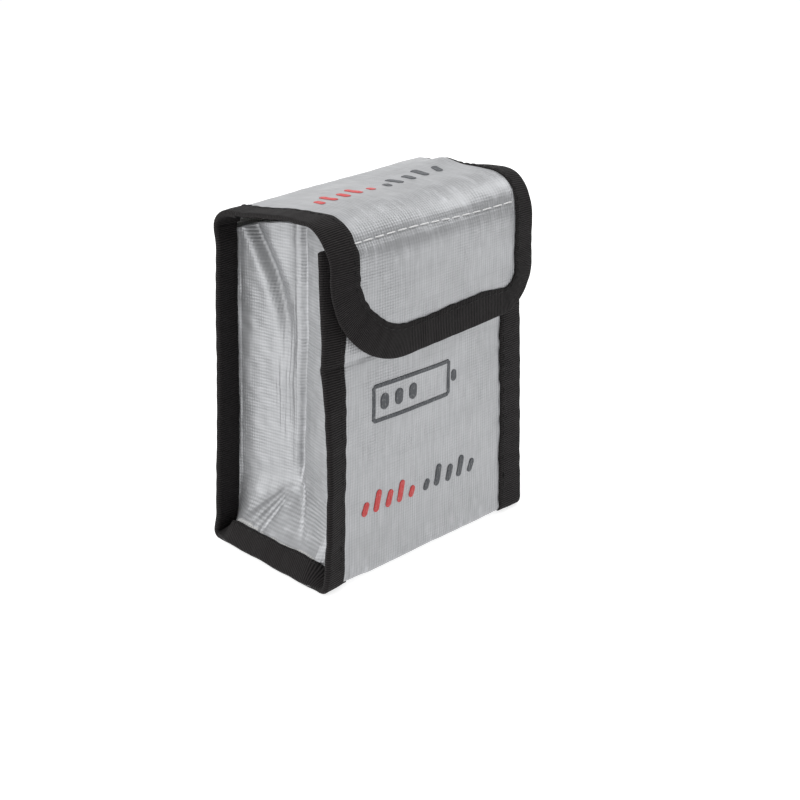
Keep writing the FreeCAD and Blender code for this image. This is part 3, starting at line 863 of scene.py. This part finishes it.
def gusset_grid(side):
    """Points of a gusset's outer face, by rows upwards and columns from front to back."""
    rows, columns = 150, 210
    v = np.linspace(0, 1, rows)[:, None]
    t = np.linspace(0, 1, columns)[None, :]
    x = side * GUSSET_X
    front = strip_above(x, S_FOOT * (1 - v[:, 0]), -SEAM)
    back = strip_above(x, S_HEEL + (BACK_MOUTH - S_HEEL) * v[:, 0], -SEAM)
    foot = strip_above(x, S_FOOT + (S_HEEL - S_FOOT) * t[0], -SEAM)
    head = front[-1] + (back[-1] - front[-1]) * t[0][:, None]
    head[:, 2] += 4.0 * np.sin(math.pi * t[0]) ** 0.7
    height = v * (MOUTH_Z - BASE_Z)
    near_foot = np.clip(1 - height / 22.0, 0, 1) ** 1.15

    def between(a, b):
        return a * (1 - t[..., None]) + b * t[..., None]

    points = between(front[:, None], back[:, None])
    points = points + (foot - between(foot[0], foot[-1])) * near_foot[..., None]
    points = points + (head - between(head[0], head[-1])) * v[..., None]
    inward = gusset_folds(points[..., 1], points[..., 2], side)
    inset = smooth(0, 0.035, t) * smooth(1, 0.965, t) * smooth(0, 0.03, v)
    points[..., 0] -= side * inward * inset
    return points


def make_gusset(side, label):
    points = gusset_grid(side)
    y, z = points[..., 1], points[..., 2]
    worn = np.clip(0.2 + 0.8 * hump(y, APEX_Y, 3.0) + 0.3 * hump(z, 12, 8), 0, 1)
    # painted shade: the long valley and a band beside the main crease are darkened in the colour, through
    # a negative weave z
    painted_crease_shade = 1.5 * long_valley(y - 1.0, z)[1] + 1.1 * smooth(30, 50, z) * hump(y, APEX_Y + 3.2, 2.6)
    weave = np.stack([z + GUSSET_WEAVE, y, np.clip(worn - painted_crease_shade, -1, 1)], -1)
    piece = cloth(f"{label}_gusset_cloth", points, weave, flip=side > 0)
    folds_flat(is_now(piece, "silver_cloth", f"{label}_gusset", f"{label}_gusset_lining"))
    seams = (
        ("front", 0.3, S_FRONT_END - 0.5, rides_front),
        ("back", S_BACK_START, BACK_MOUTH, rides_pouch),
        ("base", S_FRONT_END, S_BACK_START, folds_flat),
    )
    for name, s0, s1, move in seams:
        s = np.linspace(s0, s1, int(s1 - s0) + 2)[:, None]
        x = side * np.linspace(GUSSET_X - 0.4, HALF_W - TAPE, 9)[None, :]
        x, s = np.broadcast_arrays(x, s)
        allowance = cloth(
            f"{label}_{name}_seam_allowance",
            strip_above(x, s, -SEAM + 0.02),
            np.stack([s, x, 0.2 + 0 * x], -1),
            thickness=SEAM - CLOTH - 0.04,
            flip=side > 0,
        )
        move(is_now(allowance, "silver_cloth"))


# ---- tapes and their stitches
STITCH_MARGIN = 1.7           # stitches from the tape's inner edge
FLAP_TAPE = TAPE_W + 0.8
FACE_WIDTHS = {("left", "front"): 7.8, ("right", "front"): 11.0}    # the tape isn't folded evenly
UNDER_WIDTHS = {("left", "back"): 9.0, ("left", "base"): 9.2}
BLACK_PITCH, BLACK_R = 3.0, 0.17
SEAM_MOVES = {"front": rides_front, "base": folds_flat, "back": bends_at_root, "rear": bends_at_rear}
SIDES = ((-1, "left"), (1, "right"))


def flap_share(edge):
    """How much of its width the flap's tape keeps: less on the right and up the left, more at the
    corner."""
    x, s = edge[:, 0], edge[:, 1]
    right = smooth(20, SEAM_X, x)
    along = smooth(S_FOLD - 4, S_FOLD - 22, s)
    corner_at = np.hypot(x + FLAP_HALF - 0.35 * LEFT_R, s - line.end + 0.42 * LEFT_R)
    return 1 - 0.14 * right - (1 - right) * 0.21 * along + 0.07 * hump(corner_at, 0, 9.0)


def make_tapes():
    runs = (
        ("front", -TAPE, S_FRONT_END + 1.0, "front_binding"),
        ("base", S_FRONT_END - 1.5, S_BACK_START + 0.3, "base_binding"),
        ("back", S_BACK_START, S_ROOT, "back_binding"),
        ("rear", S_ROOT, S_TOP, "flap_root_binding"),
    )
    for side, label in SIDES:
        for name, s0, s1, node in runs:
            edge, inward = side_edge(s0, s1, side, flap_edge if name == "rear" else None)
            width = FACE_WIDTHS.get((label, name), TAPE_W)
            under = UNDER_WIDTHS.get((label, name), TAPE_W)
            share = 1.0
            if name == "rear":
                last = flap_share(edge)[-1] * FLAP_TAPE / TAPE_W
                share = 1 + (last - 1) * smooth(S_ROOT, S_TOP, edge[:, 1])
            piece = tape(f"{label}_{name}_tape", edge, inward, SEAM, width, under, share)
            SEAM_MOVES[name](is_now(piece, "edge_tape", f"{label}_{node}"))
    edge, inward = outline()
    piece = tape("flap_tape", edge, inward, CLOTH, FLAP_TAPE, FLAP_TAPE, flap_share(edge))
    nodes = ("left_flap_top_binding", "right_flap_top_binding", "tongue_binding")
    bends_at_front(is_now(piece, "edge_tape", *nodes))


def black_row(name, edge, inward, place, inset, *nodes):
    row = stitches(name, edge + inward * inset, place, BLACK_PITCH, 0.80, BLACK_R, BLACK_THREAD)
    return is_now(row, "black_thread", *nodes)


def make_black_stitches():
    sunk = 0.04     # the thread is drawn a little into the tape
    over_tape = standing_off(TAPE - sunk)
    over_gusset_tape = standing_off(sunk - SEAM - TAPE, -1)
    under_flap_tape = standing_off(sunk - CLOTH - TAPE, -1)
    runs = (
        ("front", 1.5, S_FOOT - 5.0, ("front_seam_thread",)),
        ("base", S_FOOT + 6.0, S_HEEL - 6.0, ("base_seam_thread",)),
        ("back", S_HEEL + 5.0, S_ROOT - 0.5, ("back_seam_thread",)),
        ("rear", S_ROOT + 0.5, S_TOP - 0.3, ()),
    )
    for side, label in SIDES:
        for name, s0, s1, nodes in runs:
            move = SEAM_MOVES[name]
            edge, inward = side_edge(s0, s1, side)
            inset = FACE_WIDTHS.get((label, name), TAPE_W) - STITCH_MARGIN
            move(black_row(f"{label}_{name}_stitches", edge, inward, over_tape, inset, *nodes))
            if name != "rear":
                edge, inward = side_edge(s0, min(s1, BACK_MOUTH - 1.0), side)
                inset = TAPE_W - STITCH_MARGIN
                move(black_row(f"{label}_{name}_inner_stitches", edge, inward, over_gusset_tape, inset))
    edge, inward = outline()
    inset = ((FLAP_TAPE - STITCH_MARGIN) * flap_share(edge))[:, None]
    nodes = ("flap_top_thread", "tongue_seam_thread")
    bends_at_front(black_row("flap_tape_stitches", edge, inward, over_tape, inset, *nodes))
    bends_at_front(black_row("flap_tape_under_stitches", edge, inward, under_flap_tape, inset))


def make_white_stitches():
    x = np.linspace(-SEAM_X - 1.0, SEAM_X + 0.6, 120)
    curve = np.stack([x, S_CROSS + 0.014 * x + 0.25 * np.sin(x / 9.0)], 1)
    row = stitches("cross_stitches", curve, strip_above, 4.9, 0.88, 0.24, WHITE_THREAD, sink=0.5, bow=0.9)
    bends_at_front(is_now(row, "white_thread"))
    row = stitches("cross_stitches_under", curve, on_lining, 4.9, 0.84, 0.3, WHITE_THREAD)
    bends_at_front(is_now(row, "white_thread"))


# ---- hook-and-loop tape, and the mouth's hem
PATCH_HALF = corner("loop_patch", 1)[0]
PATCH_TOP, PATCH_LOW = corner("loop_patch", 1)[2], corner("loop_patch", 0)[2]
PATCH_PITCH, PATCH_THREAD = 2.6, 0.2
HOOKS_IN, HOOK_PITCH = 2.4, 1.5     # the bristles' distance from the patch's edges, and from each other
HOOK_STEM = ((0.0, 0.40), (0.0, 0.72), (0.10, 0.90), (0.26, 0.92), (0.34, 0.80))     # across, up


def slab(name, xs, ss, place, low, high, material, bumps=0.0, weave_shift=0.0):
    """A closed thin plate over a stretch of the strip, with an uneven face. place maps (x, s, lift)."""
    x, s = np.meshgrid(xs, ss)
    rough = bumps * rng.uniform(-1, 1, x.shape)
    rim = np.minimum.reduce([x - xs[0], xs[-1] - x, s - ss[0], ss[-1] - s])
    rounded = (high - low) * 0.5 * (1 - smooth(0, 0.6, rim))
    top = place(x, s, high + rough - rounded)
    bottom = place(x, s, low + 0 * x)
    rows, columns = x.shape
    count = rows * columns
    faces = [grid_faces(rows, columns), grid_faces(rows, columns)[:, ::-1] + count]
    ring = np.r_[
        np.arange(columns),
        np.arange(1, rows) * columns + columns - 1,
        (rows - 1) * columns + np.arange(columns - 2, -1, -1),
        np.arange(rows - 2, 0, -1) * columns,
    ]
    after = np.roll(ring, -1)
    faces.append(np.stack([ring, after, after + count, ring + count], 1))
    weave = np.stack([x, s + weave_shift, 0 * x], -1)
    weave = np.concatenate([weave, weave]).reshape(-1, 3)
    points = np.concatenate([top.reshape(-1, 3), bottom.reshape(-1, 3)])
    return new_mesh(name, points, np.vstack(faces), weave, [material])


def clear_of_tape(x, s):
    """The patch's lower left corner is cut round, to stay inside the flap's tape."""
    radius = LEFT_R - FLAP_TAPE - 0.8
    over = np.clip(s - (line.end - LEFT_R), 0, radius)
    room = LEFT_R + flap_edge(line.end - LEFT_R, -1) - np.sqrt(radius**2 - over**2)
    return np.where(x < 0, x * np.clip(room / -PATCH_HALF, 0, 1), x)


def under_tongue(x, s, lift):
    return on_lining(clear_of_tape(x, s), s, lift)


def patch_border(s0, s1):
    """A rectangle of stitches round a patch, as (x, s) points."""
    inset = 1.4
    a, b = -PATCH_HALF + inset, PATCH_HALF - inset
    low, high = s0 + inset, s1 - inset
    corners = [(a, low), (b, low), (b, high), (a, high), (a, low)]
    sides = [np.linspace(p, q, 40, endpoint=False) for p, q in zip(corners, corners[1:])]
    return np.vstack([*sides, corners[-1:]])


def even(low, high, step):
    """Evenly spaced values up to the high one."""
    return np.arange(low, high + 0.1, step)


def make_closure():
    s0, s1 = (line.find(FRONT_Y, z, 0, S_FOOT) for z in (PATCH_TOP, PATCH_LOW))
    xs, ss = even(-PATCH_HALF, PATCH_HALF, 0.55), even(s0, s1, 0.55)
    pile = slab("loop_pile", xs, ss, strip_above, 0.0, 0.85, LOOP, bumps=0.13)
    rides_front(is_now(pile, "loop_tape", "loop_patch"))
    thread = (PATCH_PITCH, 0.8, PATCH_THREAD, BLACK_THREAD)
    row = stitches("loop_pile_stitches", patch_border(s0, s1), standing_off(0.75), *thread)
    rides_front(is_now(row, "black_thread", "loop_patch_thread"))

    s0, s1 = (line.find(TONGUE_Y, z, S_FOLD) for z in (PATCH_TOP, PATCH_LOW))
    xs, ss = even(-PATCH_HALF, PATCH_HALF, 0.8), even(s0, s1, 0.8)
    ground = slab("hook_ground", xs, ss, under_tongue, 0.0, 0.45, HOOK, bumps=0.03)
    bends_at_front(is_now(ground, "hook_tape", "hook_patch"))
    hooks = make_hooks(s0 + HOOKS_IN, s1 - HOOKS_IN)
    bends_at_front(is_now(hooks, "hook_tape"))

    def on_ground(x, s, lift):
        return under_tongue(x, s, 0.42 + np.asarray(lift, float))

    row = stitches("hook_ground_stitches", patch_border(s0, s1), on_ground, *thread)
    bends_at_front(is_now(row, "black_thread", "hook_patch_thread"))


def make_hooks(s0, s1):
    """Small bent bristles in rows over the hook tape."""
    points, faces = [], []
    high, round_about = len(HOOK_STEM), 4
    for row, s in enumerate(np.arange(s0, s1, HOOK_PITCH)):
        start = -PATCH_HALF + HOOKS_IN + HOOK_PITCH / 2 * (row % 2)
        for x in np.arange(start, PATCH_HALF - HOOKS_IN, HOOK_PITCH):
            first, toward = len(points) * high * round_about, rng.choice([-1, 1])
            last = first + (high - 1) * round_about
            bristle = []
            for k, (across, up) in enumerate(HOOK_STEM):
                thick = 0.11 if k < 4 else 0.06
                for a, b in ((-1, -1), (1, -1), (1, 1), (-1, 1)):
                    tilt = a * toward * thick * (k > 1)
                    bristle.append((x + toward * across + a * thick, s + b * thick, up - tilt))
            points.append(bristle)
            faces.append(grid_faces(high, round_about, closed=True, start=first))
            faces.append([[first + 3, first + 2, first + 1, first]])
            faces.append([[last, last + 1, last + 2, last + 3]])
    flat = np.array(points).reshape(-1, 3)
    return new_mesh("hook_bristles", under_tongue(*flat.T), np.vstack(faces), flat, [HOOK])


def make_hem():
    """The front wall's mouth is turned in and sewn."""
    half = corner("front_hem", 1)[0]
    depth = MOUTH_Z - corner("front_hem", 0)[2]
    xs, ss = even(-half, half, 1.1), np.arange(-0.15, depth, 0.8)
    hem = slab("mouth_hem", xs, ss, on_lining, 0.0, 0.75, SILVER, bumps=0.02, weave_shift=300)
    rides_front(is_now(hem, "silver_cloth", "front_hem"))
    x = np.linspace(-half + 1, half - 1, 80)
    curve = np.stack([x, depth - 1.6 + 0 * x], 1)
    on_hem = standing_off(-CLOTH - 0.72, -1)
    row = stitches("mouth_hem_stitches", curve, on_hem, 3.0, 0.8, 0.22, BLACK_THREAD)
    rides_front(is_now(row, "black_thread", "front_hem_thread"))


# ---- prints: plain bars and a battery symbol
def bars(name, strokes, material):
    """Rounded bars printed on the strip, each from one (x, s) point to another with its width."""
    points, faces, weave = [], [], []
    columns, count, lift = 6, 0, 0.045
    for (x0, s0), (x1, s1), width in strokes:
        length = math.hypot(x1 - x0, s1 - s0)
        way = np.array([x1 - x0, s1 - s0]) / length
        side = np.array([-way[1], way[0]])
        half = width / 2
        round_end = half - half * np.cos(np.linspace(0, math.pi / 2, 6))
        middle = np.linspace(half, length - half, max(2, int(length / 0.7)))[1:-1]
        run = np.r_[round_end, middle, length - round_end[::-1]]
        near = np.clip(np.minimum(run, length - run), 0, half)
        reach = np.sqrt(np.clip(half**2 - (half - near) ** 2, 0.0004, None))
        across = reach[:, None] * np.linspace(-1, 1, columns)
        flat = (np.array([x0, s0]) + way * run[:, None])[:, None] + side * across[..., None]
        faces.append(grid_faces(len(run), columns, start=count))
        count += len(run) * columns
        points.append(flat.reshape(-1, 2))
    flat = np.vstack(points)
    weave = np.c_[flat, np.zeros(len(flat))]
    piece = new_mesh(name, strip_above(*flat.T, lift), np.vstack(faces), weave, [material])
    thicken(piece, 2 * lift)
    return piece


def front_at(x, z):
    return (x, S_FOOT - (z - BASE_Z))


def top_at(x, y):
    return (x, S_FOLD_TOP - (y - TONGUE_Y))


def mark(to, x0, low, high, step, width):
    """Two groups of slanted bars of different heights: the red ones and the dark ones."""
    slant, shares = 1.6, (0.62, 1.0, 0.78, 1.0, 0.50)
    groups = []
    for start, heights in ((x0, shares), (x0 + len(shares) * step + step * 0.35, shares[::-1])):
        feet = [start + k * step for k in range(len(shares))]
        groups.append([
            (to(x, low), to(x + slant, low + (high - low) * h), width) for x, h in zip(feet, heights)
        ])
    return groups


def battery(left, right, low, high):
    """Outline of a battery with its pole and three cells, as bars."""
    rim, pole, cell = 1.3, 2.4, 3.4
    pole_x, pole_in, cell_in = right + 2.6, 3.6, 2.9
    strokes = [
        ((left, low), (right, low), rim),
        ((left, high), (right, high), rim),
        ((left, low), (left, high), rim),
        ((right, low), (right, high), rim),
        ((pole_x, low + pole_in), (pole_x, high - pole_in), pole),
    ]
    strokes += [((left + x, low + cell_in), (left + x, high - cell_in), cell) for x in (4.6, 10.8, 17.0)]
    return [(front_at(*start), front_at(*end), width) for start, end, width in strokes]


def make_prints():
    red, dark = mark(front_at, -28.8, 20.0, 27.0, 5.05, 2.3)
    top_red, top_dark = mark(top_at, -28.0, -4.6, 4.6, 5.6, 2.2)
    for name, strokes, material, move in (
        ("front_red_bars", red, RED_INK, rides_front),
        ("front_dark_bars", dark, DARK_INK, rides_front),
        ("front_battery_symbol", battery(-25.0, 8.5, 49.6, 60.6), DARK_INK, rides_front),
        ("flap_red_bars", top_red, RED_INK, bends_at_front),
        ("flap_dark_bars", top_dark, DARK_INK, bends_at_front),
    ):
        is_now(move(bars(name, strokes, material)), "silver_cloth")


make_strip()
for side, label in SIDES:
    make_gusset(side, label)
make_tapes()
make_black_stitches()
make_white_stitches()
make_closure()
make_hem()
make_prints()


# ---- floor, light and camera
HALF_HEIGHT = 55
LIGHTS = (     # place in millimetres, size in metres, power in watts
    ("key", (-420, -560, 760), (0.55, 0.55), 0.3),
    ("top", (-120, 150, 900), (0.9, 0.8), 5.8),
    ("left", (-820, 220, 400), (0.9, 0.9), 4.4),
    ("rim", (660, -130, 640), (0.5, 0.5), 1.8),
    ("right", (700, -700, 300), (0.6, 0.6), 0.3),
    ("back", (560, 530, 300), (0.9, 0.6), 1.15),
)


def area_light(name, place, size, power):
    data = bpy.data.lights.new(name, "AREA")
    data.shape = "RECTANGLE"
    data.size, data.size_y = size
    data.energy = power
    lamp = placed(name, data)
    lamp.location = Vector(place) * MM
    middle = Vector((0, 0, HALF_HEIGHT)) * MM
    lamp.rotation_euler = (middle - lamp.location).to_track_quat("-Z", "Y").to_euler()


def make_stage():
    side = 20.0     # metres, so that its far edge isn't seen
    mesh = bpy.data.meshes.new("floor")
    corners = [(-side, -side, 0), (side, -side, 0), (side, side, 0), (-side, side, 0)]
    mesh.from_pydata(corners, [], [(0, 1, 2, 3)])
    paint = Shader("floor", Base_Color=grey(0.5), Roughness=0.9, Emission_Color=grey(1))
    paint.main.inputs["Emission Strength"].default_value = 0.79
    mesh.materials.append(paint.material)
    floor = placed("floor", mesh)
    world = bpy.data.worlds.new("studio")
    world.use_nodes = True
    background = world.node_tree.nodes["Background"]
    background.inputs["Color"].default_value = (1, 1, 1, 1)
    background.inputs["Strength"].default_value = 0.29
    bpy.context.scene.world = world
    bpy.context.scene.view_settings.view_transform = "Standard"
    for light in LIGHTS:
        area_light(*light)


def make_camera():
    """Far enough off that the uprights stay nearly parallel, as in a product picture."""
    azimuth, elevation, distance = math.radians(-46.65), math.radians(19.75), 652.0
    aim = Vector((3.9, -9.9, 44.0))
    back = Vector((
        math.sin(azimuth) * math.cos(elevation),
        -math.cos(azimuth) * math.cos(elevation),
        math.sin(elevation),
    ))
    data = bpy.data.cameras.new("camera")
    data.lens, data.sensor_width = 90.285, 36.0
    data.clip_start, data.clip_end = 0.01, 20
    camera = placed("camera", data)
    camera.location = (aim + back * distance) * MM
    camera.rotation_euler = (-back).to_track_quat("-Z", "Y").to_euler()
    bpy.context.scene.camera = camera


make_stage()
make_camera()
